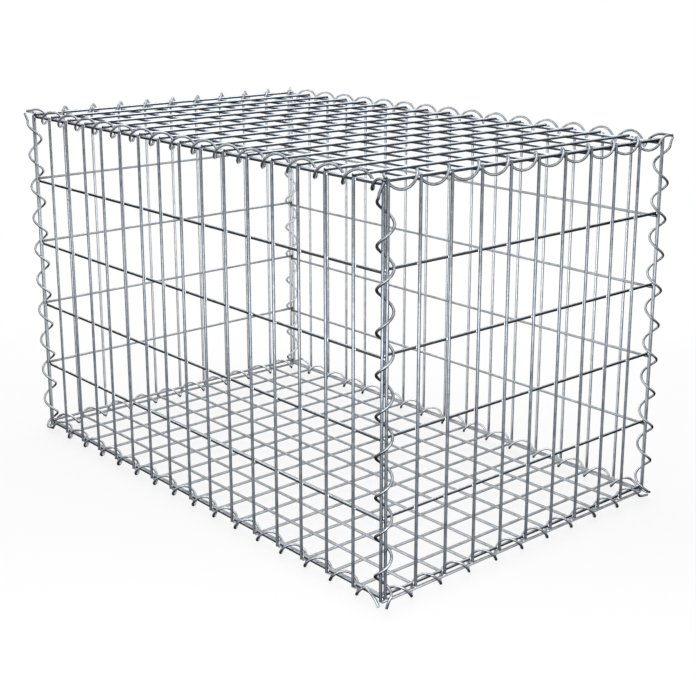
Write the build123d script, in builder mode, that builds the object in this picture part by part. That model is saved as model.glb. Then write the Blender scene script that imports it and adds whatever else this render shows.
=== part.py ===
from build123d import *
import math
import os

# Gabion basket: six welded wire mesh panels, laced shut along all twelve edges by spiral wires.
# X runs along the length, Y from front to back, Z up. The origin is on the ground below the middle.

# The mesh box, between the centre lines of its outermost wires
box_length = 800.0
box_width = 500.0
box_height = 500.0

# Wire spacing: the uprights of the walls and both ways in the lid and the base, and the walls' level wires
mesh_spacing = 50.0
level_spacing = 100.0

# Mesh wire, how deep crossing wires sink into each other at a weld, and the play between panels
mesh_wire = 4.0
weld_bite = 0.2
panel_play = 0.2

# How far the upright wires run past the level wires at their ends
upright_tail = 3.0

# Spiral wire: its thickness, the outside of its coil, and the advance that one turn comes close to
spiral_wire = 3.5
coil_outside = 23.0
coil_pitch = 50.0

# Each turn of a spiral is drawn with this many straight chords
chords_per_turn = 7

# Height of the spirals' axes against the lowest and the highest level wires of the front wall
base_axis_drop = 1.0
lid_axis_rise = 2.0

# Worked out from the sizes above
panel_depth = mesh_wire - weld_bite
panel_step = mesh_wire + panel_play
coil_radius = (coil_outside - spiral_wire) / 2
corner_radius = 2 * coil_radius / (1 + math.cos(math.pi / chords_per_turn))
spiral_side = spiral_wire * math.sqrt(math.pi) / 2
half_length = box_length / 2
half_width = box_width / 2

# The basket stands on its base spirals
base_axis_height = corner_radius + spiral_side / math.sqrt(2)
first_level = base_axis_height + base_axis_drop
top_level = first_level + box_height
lid_axis_height = top_level + lid_axis_rise

# A wall's level wires stop just short of the outermost upright wires of the next wall
level_reach_x = half_length + panel_depth - mesh_wire / 2 - panel_play
level_reach_y = half_width + panel_depth - mesh_wire / 2 - panel_play

# The lid's outermost wires lie beside the level wires of the walls
deck_half_length = half_length - panel_step
deck_half_width = half_width - panel_step

# Openings of the mesh along each direction
long_gaps = round(box_length / mesh_spacing)
cross_gaps = round(box_width / mesh_spacing)
level_gaps = round(box_height / level_spacing)


def spread(half_span, gaps):
    """Even places from -half_span to half_span."""
    return [half_span * (2 * i / gaps - 1) for i in range(gaps + 1)]


def upright_wires(places, bottom):
    """Wires that run up, at the given (x, y) places."""
    with BuildPart() as wires:
        with BuildSketch(Plane.XY.offset(bottom)):
            with Locations(*places):
                RegularPolygon(mesh_wire / 2, 8, major_radius=False, rotation=22.5)
        extrude(amount=box_height + 2 * upright_tail)
    return wires.solids()


def long_wires(places, reach):
    """Wires that run along X, at the given (y, z) places."""
    with BuildPart() as wires:
        with BuildSketch(Plane.YZ.offset(-reach)):
            with Locations(*places):
                RegularPolygon(mesh_wire / 2, 8, major_radius=False, rotation=22.5)
        extrude(amount=2 * reach)
    return wires.solids()


def cross_wires(places, reach):
    """Wires that run along Y, at the given (x, z) places."""
    with BuildPart() as wires:
        with BuildSketch(Plane.XZ.offset(-reach)):
            with Locations(*places):
                RegularPolygon(mesh_wire / 2, 8, major_radius=False, rotation=22.5)
        extrude(amount=2 * reach)
    return wires.solids()


def finish(label, wires):
    """One welded panel: its wires stay separate solids that bite into each other at the welds."""
    panel = Compound(wires)
    panel.label = label
    export_step(panel, f"parts/{label}.step")


os.makedirs("parts", exist_ok=True)

levels = [first_level + box_height * k / level_gaps for k in range(level_gaps + 1)]
wall_x = spread(half_length, long_gaps)
wall_y = spread(half_width, cross_gaps)

# Front and back walls, with the upright wires outside
for label, side in (("front_panel", -1), ("back_panel", 1)):
    level_y = side * half_width
    upright_y = level_y + side * panel_depth
    finish(label, upright_wires([(x, upright_y) for x in wall_x], first_level - upright_tail)
           + long_wires([(level_y, z) for z in levels], level_reach_x))

# End walls, one wire higher, so that their level wires rest on those of the front and back
for label, side in (("left_panel", -1), ("right_panel", 1)):
    level_x = side * half_length
    upright_x = level_x + side * panel_depth
    finish(label, upright_wires([(upright_x, y) for y in wall_y], first_level + panel_step - upright_tail)
           + cross_wires([(level_x, z + panel_step) for z in levels], level_reach_y))

# Lid: its short wires rest on the top wires of the front and back, between those of the ends
deck_y = spread(deck_half_width, cross_gaps)
lid_short_z = top_level + panel_step
finish("lid_panel", cross_wires([(x, lid_short_z) for x in spread(deck_half_length, long_gaps)], level_reach_y)
       + long_wires([(y, lid_short_z - panel_depth) for y in deck_y], deck_half_length + mesh_wire / 2))

# Base: the walls stand on its short wires
base_short_z = first_level - panel_step
finish("base_panel", cross_wires([(x, base_short_z) for x in wall_x], level_reach_y)
       + long_wires([(y, base_short_z + panel_depth) for y in deck_y], level_reach_x))


def spiral(label, axis, shift, hand, start_angle, low_end, high_end):
    """One spiral wire along an edge, wound from the mesh's first wire there to its last.

    shift moves the coil's axis off the edge, along the two other axes. hand is 1 for a right-handed coil.
    start_angle is where the coil stands at the edge's low end. low_end and high_end each give the chords that the
    coil stops short of that end of the edge, and then the places that the wire runs on to, the last of them its
    tip, measured from the corner of the box. Shifts and places are in thicknesses of the mesh wire.
    """
    side_x = 1 if "right" in label else -1
    side_y = 1 if "back" in label else -1
    edge_z = lid_axis_height if "lid" in label else base_axis_height
    span, gaps = {"x": (box_length, long_gaps), "y": (box_width, cross_gaps), "z": (box_height, level_gaps)}[axis]
    turns = gaps * round(span / gaps / coil_pitch)
    chords = turns * chords_per_turn
    off_1, off_2 = shift[0] * mesh_wire, shift[1] * mesh_wire

    def coil_corner(step):
        angle = math.radians(start_angle + hand * 360 * step / chords_per_turn)
        along = span * step / chords
        u, v = corner_radius * math.cos(angle), corner_radius * math.sin(angle)
        return {"x": (along - half_length, side_y * half_width + off_1 + u, edge_z + off_2 + v),
                "y": (side_x * half_length + off_1 + v, along - half_width, edge_z + off_2 + u),
                "z": (side_x * half_length + off_1 + u, side_y * half_width + off_2 + v, first_level + along)}[axis]

    def end_places(places, side):
        box_corner = {"x": (side * half_length, side_y * half_width, top_level if "lid" in label else first_level),
                      "y": (side_x * half_length, side * half_width, top_level if "lid" in label else first_level),
                      "z": (side_x * half_length, side_y * half_width, top_level if side > 0 else first_level)}[axis]
        return [tuple(c + mesh_wire * p for c, p in zip(box_corner, place)) for place in places]

    corners = end_places(low_end[1:], -1)[::-1]
    corners += [coil_corner(step) for step in range(low_end[0], chords - high_end[0] + 1)]
    corners += end_places(high_end[1:], 1)
    with BuildPart() as wire:
        with BuildLine() as path:
            Polyline(*corners)
        with BuildSketch(Plane(origin=path.line @ 0, z_dir=path.line % 0)):
            Rectangle(spiral_side, spiral_side)
        sweep(transition=Transition.RIGHT)
    wire.part.label = label
    export_step(wire.part, f"parts/{label}.step")


# Each spiral hangs a few millimetres off its edge, where its strands bear on the mesh
spiral("front_right_post_spiral", "z", (1.125, -1), 1, 357,
       (1, (2.8, -0.2, 0.2), (2.4, -0.8, -2.1)), (2, (1.2, -3.4, -1.6), (2.3, -2.7, 1.3)))
spiral("front_left_post_spiral", "z", (-1, -0.25), -1, 175,
       (0, (-2.5, -1.7, -1.7)), (1, (-3.3, -2.2, -0.4), (-2.9, -3.0, 1.4)))
spiral("back_right_post_spiral", "z", (0.75, 0.125), -1, 6,
       (0, (2.6, 2.5, -1.1)), (1, (2.6, 2.4, 0.7), (2.6, 3.2, 2.0)))
spiral("back_left_post_spiral", "z", (-1.125, 1), 1, 183,
       (1, (-2.8, 0, 0.8), (-1.9, 1.9, -0.6)), (1, (-3.2, 2.2, -0.4), (-2.8, 2.2, 1.6)))
spiral("front_lid_spiral", "x", (0, 0), -1, 115,
       (0, (-2.1, -2.6, 2.2)), (1, (-0.2, -2.1, 1.8), (1.9, -1.6, 1.4)))
spiral("back_lid_spiral", "x", (0, 0), -1, 80,
       (2, (-0.5, 2.6, 0.4), (-1.7, 2.6, 1.6)), (0, (1.9, 2.4, 2.5)))
spiral("right_lid_spiral", "y", (0, 0), -1, 342,
       (0, (1.2, -1.8, 3.0), (2.5, -2.1, 2.3)), (2, (2.8, -1.6, 2.6), (3.1, 2.3, 2.6)))
spiral("left_lid_spiral", "y", (-0.125, 0), -1, 12,
       (2, (-3.1, 1.1, 1.2), (-3.1, -2.0, 2.0)), (0, (-1.9, 1.6, 2.2)))
spiral("front_base_spiral", "x", (0.125, 0), -1, 294,
       (2, (1.8, -1.8, -1.5), (-1.4, -2.2, -1.7)), (4, (-2.8, -1.2, -0.2), (-0.4, -1.3, -2.5)))
spiral("back_base_spiral", "x", (0.125, 0), -1, 260,
       (4, (3.3, 2.9, 1.4), (-0.5, 2.2, -0.4)), (2, (-2.1, 2.5, -1.1), (1.5, 2.6, -1.5)))
spiral("right_base_spiral", "y", (0, 0), 1, 202,
       (1,), (2, (2.2, -1.8, -1.5), (2.2, 1.8, -2.0)))
spiral("left_base_spiral", "y", (0, 0), 1, 202,
       (1, (-1.5, -1.0, -1.5)), (0, (-1.6, 1.7, -1.8)))
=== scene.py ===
import math
import random

import bpy
from mathutils import Matrix, Vector


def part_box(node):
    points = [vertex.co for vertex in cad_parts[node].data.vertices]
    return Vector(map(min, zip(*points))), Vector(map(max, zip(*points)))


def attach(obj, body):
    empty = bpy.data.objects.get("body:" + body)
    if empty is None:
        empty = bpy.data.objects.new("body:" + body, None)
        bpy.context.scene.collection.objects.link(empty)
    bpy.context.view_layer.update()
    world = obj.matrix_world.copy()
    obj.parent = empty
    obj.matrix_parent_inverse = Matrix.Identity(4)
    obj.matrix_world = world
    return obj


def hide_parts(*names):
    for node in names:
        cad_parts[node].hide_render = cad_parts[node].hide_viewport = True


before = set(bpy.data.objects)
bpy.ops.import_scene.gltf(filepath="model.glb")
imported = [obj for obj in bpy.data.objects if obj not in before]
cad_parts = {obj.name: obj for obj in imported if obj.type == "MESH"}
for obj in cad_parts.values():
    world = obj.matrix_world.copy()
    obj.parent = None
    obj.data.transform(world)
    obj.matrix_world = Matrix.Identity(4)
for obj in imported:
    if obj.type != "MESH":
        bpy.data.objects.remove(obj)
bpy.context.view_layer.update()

# A gabion basket: six welded mesh panels, laced along all twelve edges by spiral wires.
# X runs along the length, Y from front to back, Z up. Lengths are in metres.
# The weld beads vary at random, and the seed makes them the same in every run.
rng = random.Random(7)

# The wires, and the chamfer left on their cut ends
MESH_WIRE = 0.004
SPIRAL_WIRE = 0.0035
CUT_CHAMFER = 0.0003

# How deep crossing wires sink into each other at a weld, the play between panels, and how far the upright
# wires run past the level wires at their ends
WELD_BITE = 0.0002
PANEL_PLAY = 0.0002
UPRIGHT_TAIL = 0.003

# The bead of metal at a weld: half its width, half its depth, and how far each varies
BEAD_WIDE = 0.0025
BEAD_DEEP = 0.00095
BEAD_WIDE_SPREAD = (0.9, 1.12)
BEAD_DEEP_SPREAD = (0.9, 1.15)

# Openings of the mesh along each side
LENGTH_OPENINGS = 16
WIDTH_OPENINGS = 10
HEIGHT_OPENINGS = 5

# The mesh box between wire centres, read from the front and the right wall
front_low, front_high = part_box("front_panel")
right_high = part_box("right_panel")[1]
HALF_LENGTH = front_high[0] - MESH_WIRE / 2
HALF_WIDTH = right_high[1] - MESH_WIRE / 2
FIRST_LEVEL = front_low[2] + UPRIGHT_TAIL
TOP_LEVEL = front_high[2] - UPRIGHT_TAIL
MIDDLE = (0.0, 0.0, (FIRST_LEVEL + TOP_LEVEL) / 2)
HALF_BOX = (HALF_LENGTH, HALF_WIDTH, (TOP_LEVEL - FIRST_LEVEL) / 2)

# From the inner to the outer wires of a panel, and from one panel to the next
PANEL_DEPTH = MESH_WIRE - WELD_BITE
PANEL_STEP = MESH_WIRE + PANEL_PLAY

# A wall's level wires stop just short of the outermost upright wires of the next wall
LEVEL_REACH_X = HALF_LENGTH + PANEL_DEPTH - MESH_WIRE / 2 - PANEL_PLAY
LEVEL_REACH_Y = HALF_WIDTH + PANEL_DEPTH - MESH_WIRE / 2 - PANEL_PLAY

# The coils: their radius, and how far their axes lie below the lowest and above the highest level wires
COIL_RADIUS = 0.00975
BASE_AXIS_DROP = 0.001
LID_AXIS_RISE = 0.002
BASE_AXIS = FIRST_LEVEL - BASE_AXIS_DROP
LID_AXIS = TOP_LEVEL + LID_AXIS_RISE

# A post spiral's turns between two level wires, and the parts of a turn in which a coil's missing turns are
# counted, which are the chords of the solid one
TURNS_PER_LEVEL = 2
CHORDS_PER_TURN = 7

# How finely the wires, the coils, the bends at their ends and the weld beads are modelled
WIRE_SIDES = 16
STEPS_PER_TURN = 32
BEND_STEPS = 7
BEAD_SIDES = 10
BEAD_LEVELS = (-0.75, -0.25, 0.25, 0.75)

# The map that unrolls a wire's skin, along the wire and around it
WIRE_MAP = "wire"


def spread(half_span, openings):
    """Even places from -half_span to half_span."""
    return [half_span * (2 * i / openings - 1) for i in range(openings + 1)]


def circle(sides):
    """The cosine and the sine of even steps around one turn."""
    angles = [2 * math.pi * k / sides for k in range(sides)]
    return [(math.cos(angle), math.sin(angle)) for angle in angles]


def bead_form():
    """A round bead of radius 1: each vertex as its place across the bead and its level, and the faces."""
    verts = [((0, 0), -1)]
    for level in BEAD_LEVELS:
        radius = math.sqrt(1 - level * level)
        verts += [((radius * cosine, radius * sine), level) for cosine, sine in circle(BEAD_SIDES)]
    verts.append(((0, 0), 1))
    top = len(verts) - 1
    top_ring = top - BEAD_SIDES
    faces = []
    for k in range(BEAD_SIDES):
        j = (k + 1) % BEAD_SIDES
        faces.append((0, 1 + j, 1 + k))
        for ring in range(1, top_ring, BEAD_SIDES):
            faces.append((ring + k, ring + j, ring + BEAD_SIDES + j, ring + BEAD_SIDES + k))
        faces.append((top_ring + k, top_ring + j, top))
    return verts, faces


BEAD_VERTS, BEAD_FACES = bead_form()


class Shape:
    """Collects the vertices and faces of one piece, with each face's coat and the map of its corners."""

    def __init__(self):
        self.verts = []
        self.faces = []
        self.coats = []
        self.unrolled = []

    def tube(self, points, radius, coat=0):
        """A round wire along the points, with both ends cut and slightly chamfered."""
        points = [Vector(point) for point in points]
        first = (points[1] - points[0]).normalized()
        last = (points[-1] - points[-2]).normalized()
        path = [points[0], points[0] + first * CUT_CHAMFER] + points[1:-1]
        path += [points[-1] - last * CUT_CHAMFER, points[-1]]
        radii = [radius - CUT_CHAMFER] + [radius] * (len(path) - 2) + [radius - CUT_CHAMFER]
        rings = self.rings_around(path, radii, first.orthogonal().normalized())
        self.skin(rings, path)
        self.cut_ends(rings[0], rings[-1])
        self.coats += [coat] * (len(self.faces) - len(self.coats))

    def rings_around(self, path, radii, normal):
        """Rings of vertices around a path, turned as little as possible; gives each ring's first vertex."""
        rings = []
        for i, centre in enumerate(path):
            before = path[max(i - 1, 0)]
            after = path[min(i + 1, len(path) - 1)]
            tangent = (after - before).normalized()
            normal = (normal - tangent * normal.dot(tangent)).normalized()
            binormal = tangent.cross(normal)
            rings.append(len(self.verts))
            for cosine, sine in circle(WIRE_SIDES):
                self.verts.append(centre + radii[i] * (cosine * normal + sine * binormal))
        return rings

    def skin(self, rings, path):
        """The faces between the rings, unrolled by their run along the path."""
        run = 0.0
        for near_ring, far_ring, near, far in zip(rings, rings[1:], path, path[1:]):
            reach = run + (far - near).length
            for k in range(WIRE_SIDES):
                j = (k + 1) % WIRE_SIDES
                low, high = k / WIRE_SIDES, (k + 1) / WIRE_SIDES
                self.faces.append((near_ring + k, near_ring + j, far_ring + j, far_ring + k))
                self.unrolled += [(run, low), (run, high), (reach, high), (reach, low)]
            run = reach

    def cut_ends(self, first_ring, last_ring):
        """The flat faces at both ends of a wire."""
        self.faces.append(tuple(first_ring + k for k in reversed(range(WIRE_SIDES))))
        self.faces.append(tuple(last_ring + k for k in range(WIRE_SIDES)))
        self.unrolled += 2 * circle(WIRE_SIDES)

    def bead(self, centre, across, coat=0):
        """The bead of metal pressed out at a weld; across is the axis from one wire to the other."""
        wide = BEAD_WIDE * rng.uniform(*BEAD_WIDE_SPREAD)
        deep = BEAD_DEEP * rng.uniform(*BEAD_DEEP_SPREAD)
        turn = rng.uniform(0, math.pi)
        first_vert = len(self.verts)
        for (x, y), level in BEAD_VERTS:
            side_1 = wide * (x * math.cos(turn) - y * math.sin(turn))
            side_2 = wide * (x * math.sin(turn) + y * math.cos(turn))
            off = deep * level
            places = {"x": (off, side_1, side_2), "y": (side_1, off, side_2), "z": (side_1, side_2, off)}
            self.verts.append(Vector(centre) + Vector(places[across]))
        for face in BEAD_FACES:
            self.faces.append(tuple(first_vert + k for k in face))
            self.unrolled += [BEAD_VERTS[k][0] for k in face]
        self.coats += [coat] * len(BEAD_FACES)

    def piece(self, name, node, slot, *materials):
        """The finished piece, in the place of its node; only the cut ends have flat faces."""
        mesh = bpy.data.meshes.new(name)
        mesh.from_pydata([tuple(v) for v in self.verts], [], self.faces)
        for polygon in mesh.polygons:
            polygon.use_smooth = len(polygon.vertices) < WIRE_SIDES
            polygon.material_index = self.coats[polygon.index]
        wire_map = mesh.uv_layers.new(name=WIRE_MAP)
        for loop, place in zip(wire_map.data, self.unrolled):
            loop.uv = place
        for material in materials:
            mesh.materials.append(material)
        obj = bpy.data.objects.new(name, mesh)
        bpy.context.scene.collection.objects.link(obj)
        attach(obj, "root")
        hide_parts(node)


class Tree:
    """The node tree of a material or of the world."""

    def __init__(self, owner):
        owner.use_nodes = True
        self.nodes = owner.node_tree.nodes
        self.links = owner.node_tree.links

    def feed(self, node, inputs):
        """Gives sockets of a node the outputs that they are linked to, or their plain values."""
        for socket, value in inputs.items():
            if isinstance(value, bpy.types.NodeSocket):
                self.links.new(value, node.inputs[socket])
            else:
                node.inputs[socket].default_value = value

    def node(self, kind, inputs, **settings):
        """A new shader node, with its settings made and its inputs fed."""
        node = self.nodes.new("ShaderNode" + kind)
        for name, value in settings.items():
            setattr(node, name, value)
        self.feed(node, inputs)
        return node

    def maths(self, operation, first, second):
        """The sum, product or larger one of two numbers, as the operation says."""
        return self.node("Math", {0: first, 1: second}, operation=operation).outputs[0]

    def vectors(self, operation, *values, output="Vector"):
        """The outcome of an operation on one or two vectors; output is Value where it is a number."""
        return self.node("VectorMath", dict(enumerate(values)), operation=operation).outputs[output]

    def remap(self, value, start, stop, at_start, at_stop, interpolation="LINEAR"):
        """A value's range from start to stop, stretched to at_start to at_stop."""
        inputs = {"Value": value, "From Min": start, "From Max": stop, "To Min": at_start, "To Max": at_stop}
        return self.node("MapRange", inputs, interpolation_type=interpolation).outputs["Result"]

    def step(self, value, start, stop, at_start, at_stop):
        """A smooth step from at_start to at_stop while a value goes from start to stop."""
        return self.remap(value, start, stop, at_start, at_stop, "SMOOTHSTEP")

    def blend(self, kind, factor, first, second):
        """The first colour, mixed or multiplied with the second as far as the factor says."""
        inputs = {"Factor": factor, "A": first, "B": second}
        return self.node("Mix", inputs, data_type="RGBA", blend_type=kind).outputs["Result"]

    def noise(self, place, scale, detail, detail_share):
        """Cloudy noise over a place; detail_share is how strong the finer clouds in it are."""
        inputs = {"Vector": place, "Scale": scale, "Detail": detail, "Roughness": detail_share}
        return self.node("TexNoise", inputs).outputs["Fac"]

    def tint(self, clouds, bright, dull):
        """A colour that follows the clouds from its dull to its bright tone."""
        ramp = self.node("ValToRGB", {"Fac": clouds})
        low, high = ramp.color_ramp.elements
        low.position, high.position = CLOUD_EDGES
        low.color, high.color = (*dull, 1), (*bright, 1)
        return ramp.outputs["Color"]


# The metal: how far the lines drawn along the wire stretch a reflection, and the dark tint of its rims
METALLIC = 1.0
STRETCH = 0.9
RIM_TINT = (0.1, 0.1, 0.1, 1)

# Soft clouds in the zinc: how fine and how detailed they are, between which values their tone goes from dull
# to bright, and what they add to the roughness from their lowest to their highest value
CLOUD_SCALE = 90
CLOUD_DETAIL = 5
CLOUD_DETAIL_SHARE = 0.6
CLOUD_EDGES = (0.32, 0.62)
CLOUD_ROUGHER = (-0.07, 0.09)

# Small pits in the zinc: how fine and how detailed they are, how strongly they show and how deep they are
PIT_SCALE = 1400
PIT_DETAIL = 3
PIT_DETAIL_SHARE = 0.5
PIT_STRENGTH = 0.18
PIT_DEPTH = 0.0002

# The tone goes over from an inner to an outer side while turned_outward goes from TURNED_IN to TURNED_OUT,
# a painted light or painted shade between the sides, and an inner side is this much rougher
TURNED_IN = -0.7
TURNED_OUT = -0.1
ROUGHER_INSIDE = 0.12

# Tones of the zinc, each as a bright and a dull one. Some are the zinc itself, and some are painted light,
# painted shade or painted highlights, as said at each.
STEEL_GREY = ((0.23, 0.252, 0.28), (0.128, 0.144, 0.165))
# Painted shade: the dark tone of the lid's inner sides, its undersides
PAINTED_SHADE_GREY = ((0.1, 0.112, 0.13), (0.045, 0.052, 0.062))
COOL_GREY = ((0.52, 0.565, 0.62), (0.38, 0.415, 0.455))
# Partly painted light: the lid's outer tone is paler than the walls', standing in for light on its tops
LID_GREY = ((0.6, 0.65, 0.72), (0.42, 0.46, 0.515))
# Painted light: the pale tone of the uprights' and spirals' inner sides, which makes the far walls look pale
PAINTED_LIGHT_GREY = ((0.66, 0.69, 0.72), (0.5, 0.53, 0.56))
BASE_GREY = ((0.42, 0.445, 0.47), (0.3, 0.32, 0.34))
# Painted highlight: the bright tone of the weld beads
PAINTED_HIGHLIGHT_GREY = ((0.8, 0.83, 0.87), (0.55, 0.585, 0.62))
SPIRAL_GREY = ((0.4, 0.43, 0.465), (0.17, 0.188, 0.21))


def turned_outward(tree, place, normal):
    """1 where a surface faces straight out of the basket, -1 where it faces straight in.

    The way out is the seventh power of the place, in half sizes of the basket, so the nearest panel rules it.
    """
    place = tree.vectors("DIVIDE", tree.vectors("SUBTRACT", place, MIDDLE), HALF_BOX)
    second = tree.vectors("MULTIPLY", place, place)
    fourth = tree.vectors("MULTIPLY", second, second)
    sixth = tree.vectors("MULTIPLY", fourth, second)
    outward = tree.vectors("NORMALIZE", tree.vectors("MULTIPLY", sixth, place))
    return tree.vectors("DOT_PRODUCT", outward, normal, output="Value")


def zinc(name, outside, inside, rough, shade=None):
    """Drawn wire with a hot zinc coat: soft cloudy patches, fine drawing lines, small pits.

    outside and inside are the tones of the sides that face out of the basket and into it: lit and shaded
    copies of one zinc, painted light and painted shade. shade is painted shade on the outer sides where they
    face sideways and down: it gives the upward part of the normal up to which it is full, the one at which it
    has ended, and the share of the colour that it leaves.
    """
    material = bpy.data.materials.new(name)
    tree = Tree(material)
    place = tree.node("TexCoord", {}).outputs["Object"]
    normal = tree.node("NewGeometry", {}).outputs["Normal"]
    tangent = tree.node("Tangent", {}, direction_type="UV_MAP", uv_map=WIRE_MAP).outputs["Tangent"]
    clouds = tree.noise(place, CLOUD_SCALE, CLOUD_DETAIL, CLOUD_DETAIL_SHARE)
    pits = tree.noise(place, PIT_SCALE, PIT_DETAIL, PIT_DETAIL_SHARE)
    turned = turned_outward(tree, place, normal)

    outer = tree.tint(clouds, *outside)
    inner = tree.tint(clouds, *inside)
    # Painted shade: the outer sides darken where they face sideways and down
    if shade:
        upward = tree.node("SeparateXYZ", {"Vector": normal}).outputs["Z"]
        outer = tree.blend("MULTIPLY", 1.0, outer, tree.step(upward, *shade, 1.0))
    # Painted light and shade: the sides that face into and out of the basket get different tones
    share_outside = tree.step(turned, TURNED_IN, TURNED_OUT, 0.0, 1.0)
    cloudy_rough = tree.remap(clouds, 0.0, 1.0, rough + CLOUD_ROUGHER[0], rough + CLOUD_ROUGHER[1])
    rougher = tree.step(turned, TURNED_IN, TURNED_OUT, ROUGHER_INSIDE, 0.0)
    bump = tree.node("Bump", {"Strength": PIT_STRENGTH, "Distance": PIT_DEPTH, "Height": pits})

    tree.feed(tree.nodes["Principled BSDF"], {
        "Base Color": tree.blend("MIX", share_outside, inner, outer),
        "Metallic": METALLIC,
        "Roughness": tree.maths("ADD", cloudy_rough, rougher),
        "Anisotropic": STRETCH,
        "Specular Tint": RIM_TINT,
        "Tangent": tangent,
        "Normal": bump.outputs["Normal"],
    })
    return material


# One zinc in lit and shaded copies: painted shade on the outer sides of the level wires, the lid and the
# spirals, painted light on the inner sides of the uprights and spirals, painted shade on the lid's
# undersides, and a painted highlight on the weld beads
UPRIGHT_ZINC = zinc("upright_zinc", STEEL_GREY, PAINTED_LIGHT_GREY, 0.24)
LEVEL_ZINC = zinc("level_zinc", COOL_GREY, BASE_GREY, 0.36, (0.45, 0.95, 0.08))
LID_ZINC = zinc("lid_zinc", LID_GREY, PAINTED_SHADE_GREY, 0.36, (0.15, 0.55, 0.08))
BASE_ZINC = zinc("base_zinc", BASE_GREY, BASE_GREY, 0.4)
SPIRAL_ZINC = zinc("spiral_zinc", SPIRAL_GREY, PAINTED_LIGHT_GREY, 0.26, (-0.25, 0.5, 0.18))
WELD_ZINC = zinc("weld_zinc", PAINTED_HIGHLIGHT_GREY, PAINTED_HIGHLIGHT_GREY, 0.3)

# Places of the coats in the walls' lists of materials, and in those of the lid and the base
WALL_UPRIGHT, WALL_LEVEL, WALL_WELD = range(3)
DECK_WIRE, DECK_WELD = range(2)

# Of the walls across Y and of those across X: half the span, the plane, the level wires' reach, the openings
# along the span, and the lift. The end walls are lifted so that their level wires rest on those of the front
# and back.
WALLS = {"y": (HALF_LENGTH, HALF_WIDTH, LEVEL_REACH_X, LENGTH_OPENINGS, 0),
         "x": (HALF_WIDTH, HALF_LENGTH, LEVEL_REACH_Y, WIDTH_OPENINGS, PANEL_STEP)}


def wall(name, node, normal, side):
    """A wall of the basket: upright wires outside, level wires inside. normal is the axis across the wall."""
    half_span, plane, reach, openings, lift = WALLS[normal]
    bottom, top = FIRST_LEVEL + lift, TOP_LEVEL + lift
    levels = [bottom + (top - bottom) * k / HEIGHT_OPENINGS for k in range(HEIGHT_OPENINGS + 1)]
    places = spread(half_span, openings)

    def at(along, offset, z):
        out = side * (plane + offset)
        return (along, out, z) if normal == "y" else (out, along, z)

    shape = Shape()
    for along in places:
        foot, head = (at(along, PANEL_DEPTH, z) for z in (bottom - UPRIGHT_TAIL, top + UPRIGHT_TAIL))
        shape.tube([foot, head], MESH_WIRE / 2, WALL_UPRIGHT)
    for z in levels:
        shape.tube([at(-reach, 0, z), at(reach, 0, z)], MESH_WIRE / 2, WALL_LEVEL)
        for along in places:
            shape.bead(at(along, PANEL_DEPTH / 2, z), normal, WALL_WELD)
    shape.piece(name, node, "mesh_wire", UPRIGHT_ZINC, LEVEL_ZINC, WELD_ZINC)


def deck(name, node, coat, short_z, long_z, half_length, long_reach):
    """The lid or the base: short wires outside, long wires inside."""
    shape = Shape()
    short_places = spread(half_length, LENGTH_OPENINGS)
    for x in short_places:
        shape.tube([(x, -LEVEL_REACH_Y, short_z), (x, LEVEL_REACH_Y, short_z)], MESH_WIRE / 2, DECK_WIRE)
    for y in spread(HALF_WIDTH - PANEL_STEP, WIDTH_OPENINGS):
        shape.tube([(-long_reach, y, long_z), (long_reach, y, long_z)], MESH_WIRE / 2, DECK_WIRE)
        for x in short_places:
            shape.bead((x, y, (short_z + long_z) / 2), "z", DECK_WELD)
    shape.piece(name, node, "mesh_wire", coat, WELD_ZINC)


wall("front_mesh", "front_panel", "y", -1)
wall("back_mesh", "back_panel", "y", 1)
wall("left_mesh", "left_panel", "x", -1)
wall("right_mesh", "right_panel", "x", 1)

# The lid lies on the walls' top wires and inside them, and the walls stand on the base's short wires
lid_z = TOP_LEVEL + PANEL_STEP
lid_half = HALF_LENGTH - PANEL_STEP
deck("lid_mesh", "lid_panel", LID_ZINC, lid_z, lid_z - PANEL_DEPTH, lid_half, lid_half + MESH_WIRE / 2)
base_z = FIRST_LEVEL - PANEL_STEP
deck("base_mesh", "base_panel", BASE_ZINC, base_z, base_z + PANEL_DEPTH, HALF_LENGTH, LEVEL_REACH_X)


def run_on(points, places):
    """The wire after its last turn: one smooth line through the places."""
    knots = [points[-1]] + places
    heading = (points[-1] - points[-2]).normalized()
    for i, (start, stop) in enumerate(zip(knots, knots[1:])):
        ahead = knots[i + 2] if i + 2 < len(knots) else stop
        leaving = (ahead - start).normalized()
        length = (stop - start).length
        for k in range(1, BEND_STEPS + 1):
            part = k / BEND_STEPS
            square, cube = part ** 2, part ** 3
            between = (2 * cube - 3 * square + 1) * start + (3 * square - 2 * cube) * stop
            bend = (cube - 2 * square + part) * heading + (cube - square) * leaving
            points.append(between + length * bend)
        heading = leaving


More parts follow.
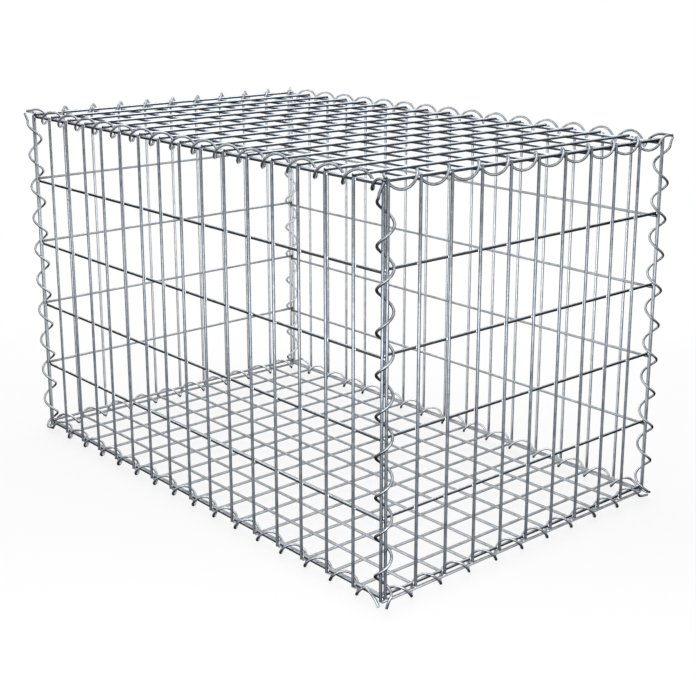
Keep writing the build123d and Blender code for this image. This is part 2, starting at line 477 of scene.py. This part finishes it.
def spiral(name, axis, shift, hand, start_angle, low_end, high_end):
    """One spiral wire along an edge, wound from the mesh's first wire there to its last.

    shift moves the coil's axis off the edge, along the two other axes. hand is 1 for a right-handed coil.
    start_angle is where the coil stands at the edge's low end. low_end and high_end each give the chords that
    the coil stops short of that end of the edge, and then the places that the wire runs on to, the last of
    them its tip, measured from the corner of the box. Shifts and places are in thicknesses of the mesh wire.
    """
    openings = {"x": LENGTH_OPENINGS, "y": WIDTH_OPENINGS, "z": HEIGHT_OPENINGS * TURNS_PER_LEVEL}[axis]
    span = {"x": 2 * HALF_LENGTH, "y": 2 * HALF_WIDTH, "z": TOP_LEVEL - FIRST_LEVEL}[axis]
    edge_x = HALF_LENGTH if "right" in name else -HALF_LENGTH
    edge_y = HALF_WIDTH if "back" in name else -HALF_WIDTH
    edge_z, level = (LID_AXIS, TOP_LEVEL) if "lid" in name else (BASE_AXIS, FIRST_LEVEL)
    off_1, off_2 = (MESH_WIRE * s for s in shift)

    def corner(high):
        return {"x": (HALF_LENGTH if high else -HALF_LENGTH, edge_y, level),
                "y": (edge_x, HALF_WIDTH if high else -HALF_WIDTH, level),
                "z": (edge_x, edge_y, TOP_LEVEL if high else FIRST_LEVEL)}[axis]

    turns = openings - (low_end[0] + high_end[0]) / CHORDS_PER_TURN
    steps = round(turns * STEPS_PER_TURN)
    points = []
    for i in range(steps + 1):
        done = low_end[0] / CHORDS_PER_TURN + turns * i / steps
        angle = math.radians(start_angle) + hand * 2 * math.pi * done
        along = span * done / openings
        u, v = COIL_RADIUS * math.cos(angle), COIL_RADIUS * math.sin(angle)
        points.append(Vector({"x": (along - HALF_LENGTH, edge_y + off_1 + u, edge_z + off_2 + v),
                              "y": (edge_x + off_1 + v, along - HALF_WIDTH, edge_z + off_2 + u),
                              "z": (edge_x + off_1 + u, edge_y + off_2 + v, FIRST_LEVEL + along)}[axis]))
    for end, high in ((high_end, True), (low_end, False)):
        run_on(points, [Vector(corner(high)) + MESH_WIRE * Vector(place) for place in end[1:]])
        points.reverse()
    shape = Shape()
    shape.tube(points, SPIRAL_WIRE / 2)
    shape.piece(name + "_coil", name + "_spiral", "spiral_wire", SPIRAL_ZINC)


# The post spirals hang a few millimetres off their edges, where their strands bear on the mesh, and three of
# the others half a millimetre
spiral("front_right_post", "z", (1.125, -1), 1, 357,
       (1, (2.8, -0.2, 0.2), (2.4, -0.8, -2.1)), (2, (1.2, -3.4, -1.6), (2.3, -2.7, 1.3)))
spiral("front_left_post", "z", (-1, -0.25), -1, 175,
       (0, (-2.5, -1.7, -1.7)), (1, (-3.3, -2.2, -0.4), (-2.9, -3.0, 1.4)))
spiral("back_right_post", "z", (0.75, 0.125), -1, 6,
       (0, (2.6, 2.5, -1.1)), (1, (2.6, 2.4, 0.7), (2.6, 3.2, 2.0)))
spiral("back_left_post", "z", (-1.125, 1), 1, 183,
       (1, (-2.8, 0, 0.8), (-1.9, 1.9, -0.6)), (1, (-3.2, 2.2, -0.4), (-2.8, 2.2, 1.6)))
spiral("front_lid", "x", (0, 0), -1, 115,
       (0, (-2.1, -2.6, 2.2)), (1, (-0.2, -2.1, 1.8), (1.9, -1.6, 1.4)))
spiral("back_lid", "x", (0, 0), -1, 80,
       (2, (-0.5, 2.6, 0.4), (-1.7, 2.6, 1.6)), (0, (1.9, 2.4, 2.5)))
spiral("right_lid", "y", (0, 0), -1, 342,
       (0, (1.2, -1.8, 3.0), (2.5, -2.1, 2.3)), (2, (2.8, -1.6, 2.6), (3.1, 2.3, 2.6)))
spiral("left_lid", "y", (-0.125, 0), -1, 12,
       (2, (-3.1, 1.1, 1.2), (-3.1, -2.0, 2.0)), (0, (-1.9, 1.6, 2.2)))
spiral("front_base", "x", (0.125, 0), -1, 294,
       (2, (1.8, -1.8, -1.5), (-1.4, -2.2, -1.7)), (4, (-2.8, -1.2, -0.2), (-0.4, -1.3, -2.5)))
spiral("back_base", "x", (0.125, 0), -1, 260,
       (4, (3.3, 2.9, 1.4), (-0.5, 2.2, -0.4)), (2, (-2.1, 2.5, -1.1), (1.5, 2.6, -1.5)))
spiral("right_base", "y", (0, 0), 1, 202,
       (1,), (2, (2.2, -1.8, -1.5), (2.2, 1.8, -2.0)))
spiral("left_base", "y", (0, 0), 1, 202,
       (1, (-1.5, -1.0, -1.5)), (0, (-1.6, 1.7, -1.8)))

# Camera, fitted to the mesh crossings of the photograph; its angles are in degrees
IMAGE_SIZE = 696
CAMERA_PLACE = Vector((1.4381, -1.2043, 0.7467 + FIRST_LEVEL))
CAMERA_AZIMUTH = 48.64
CAMERA_ELEVATION = 14.6
CAMERA_ROLL = 0.106
FOCAL_PIXELS = 1300.6
CENTRE_PIXEL = (358.1, 291.0)
SENSOR = 36.0
FAR_CLIP = 50


def photo_camera():
    """The camera, at the place and the angles above, with the photograph's focal length and centre."""
    data = bpy.data.cameras.new("camera")
    data.sensor_width = SENSOR
    data.sensor_fit = "HORIZONTAL"
    data.lens = SENSOR * FOCAL_PIXELS / IMAGE_SIZE
    data.shift_x = -(CENTRE_PIXEL[0] - IMAGE_SIZE / 2) / IMAGE_SIZE
    data.shift_y = (CENTRE_PIXEL[1] - IMAGE_SIZE / 2) / IMAGE_SIZE
    data.clip_end = FAR_CLIP
    camera = bpy.data.objects.new("camera", data)
    bpy.context.scene.collection.objects.link(camera)
    azimuth, elevation, roll = (math.radians(v) for v in (CAMERA_AZIMUTH, CAMERA_ELEVATION, CAMERA_ROLL))
    level = math.cos(elevation)
    back = Vector((math.sin(azimuth) * level, -math.cos(azimuth) * level, math.sin(elevation)))
    right = Vector((math.cos(azimuth), math.sin(azimuth), 0))
    up = back.cross(right)
    rolled_right = math.cos(roll) * right + math.sin(roll) * up
    rolled_up = -math.sin(roll) * right + math.cos(roll) * up
    turn = Matrix((rolled_right, rolled_up, back)).transposed().to_4x4()
    camera.matrix_world = Matrix.Translation(CAMERA_PLACE) @ turn
    bpy.context.scene.camera = camera


photo_camera()

# Floor and world: white to the eye and in reflections, dimmer as a source of light
AMBIENT = 0.2
WHITE = (1, 1, 1, 1)

# The floor: half its side, its own tone and finish, and how much of the white the eye sees on it near the
# basket. Between two distances from the middle it goes over to plain white.
FLOOR_HALF = 8.0
FLOOR_TONE = (0.9, 0.9, 0.9, 1)
FLOOR_ROUGHNESS = 0.9
FLOOR_SPECULAR = 0.1
FLOOR_WHITENESS = 0.82
WHITE_FROM = 0.5
WHITE_AT = 1.05


def to_the_eye(tree):
    """1 for camera, glossy and transmission rays, and 0 for the light that falls on things."""
    path = tree.node("LightPath", {})
    seen = tree.maths("MAXIMUM", path.outputs["Is Camera Ray"], path.outputs["Is Glossy Ray"])
    return tree.maths("MAXIMUM", seen, path.outputs["Is Transmission Ray"])


def white_to_the_eye(tree, seen):
    """Strength 1 to the eye, and dimmer as a source of light."""
    return tree.remap(seen, 0.0, 1.0, AMBIENT, 1.0)


def floor_coat():
    """A pale floor that keeps the basket's faint shadow."""
    material = bpy.data.materials.new("floor")
    tree = Tree(material)
    pale = tree.nodes["Principled BSDF"]
    finish = {"Base Color": FLOOR_TONE, "Roughness": FLOOR_ROUGHNESS, "Specular IOR Level": FLOOR_SPECULAR}
    tree.feed(pale, finish)
    seen = to_the_eye(tree)
    white = tree.node("Emission", {"Color": WHITE, "Strength": white_to_the_eye(tree, seen)})
    place = tree.node("TexCoord", {}).outputs["Object"]
    distance = tree.vectors("LENGTH", place, output="Value")
    far = tree.step(distance, WHITE_FROM, WHITE_AT, 0.0, 1.0)
    share = tree.maths("MAXIMUM", far, tree.maths("MULTIPLY", seen, FLOOR_WHITENESS))
    mix = tree.node("MixShader", {"Fac": share, 1: pale.outputs["BSDF"], 2: white.outputs["Emission"]})
    tree.feed(tree.nodes["Material Output"], {"Surface": mix.outputs["Shader"]})
    return material


floor_mesh = bpy.data.meshes.new("floor")
floor_corners = [(x * FLOOR_HALF, y * FLOOR_HALF, 0) for x, y in ((-1, -1), (1, -1), (1, 1), (-1, 1))]
floor_mesh.from_pydata(floor_corners, [], [(0, 1, 2, 3)])
floor_mesh.materials.append(floor_coat())
floor = bpy.data.objects.new("floor", floor_mesh)
bpy.context.scene.collection.objects.link(floor)

world = bpy.data.worlds.new("world")
world_tree = Tree(world)
world_light = {"Color": WHITE, "Strength": white_to_the_eye(world_tree, to_the_eye(world_tree))}
world_tree.feed(world_tree.nodes["Background"], world_light)
bpy.context.scene.world = world


def softbox(name, azimuth, distance, height, size, radiance):
    """A rectangular lamp aimed at the middle of the basket.

    azimuth is measured as the camera's is, and distance from the upright line through the middle.
    """
    data = bpy.data.lights.new(name, "AREA")
    data.shape = "RECTANGLE"
    data.size, data.size_y = size
    data.energy = radiance * math.pi * size[0] * size[1]
    lamp = bpy.data.objects.new(name, data)
    bpy.context.scene.collection.objects.link(lamp)
    lamp.visible_camera = False
    angle = math.radians(azimuth)
    lamp.location = (math.sin(angle) * distance, -math.cos(angle) * distance, height)
    aim = Vector(MIDDLE) - lamp.location
    lamp.rotation_euler = aim.to_track_quat("-Z", "Y").to_euler()


softbox("front", 48, 1.05, 0.3, (1.2, 0.5), 4.5)
softbox("back", 228, 1.6, 1.5, (2.6, 0.9), 4.0)
softbox("top", 30, 0.1, 2.6, (1.8, 1.6), 3.1)

bpy.context.scene.view_settings.view_transform = "Standard"
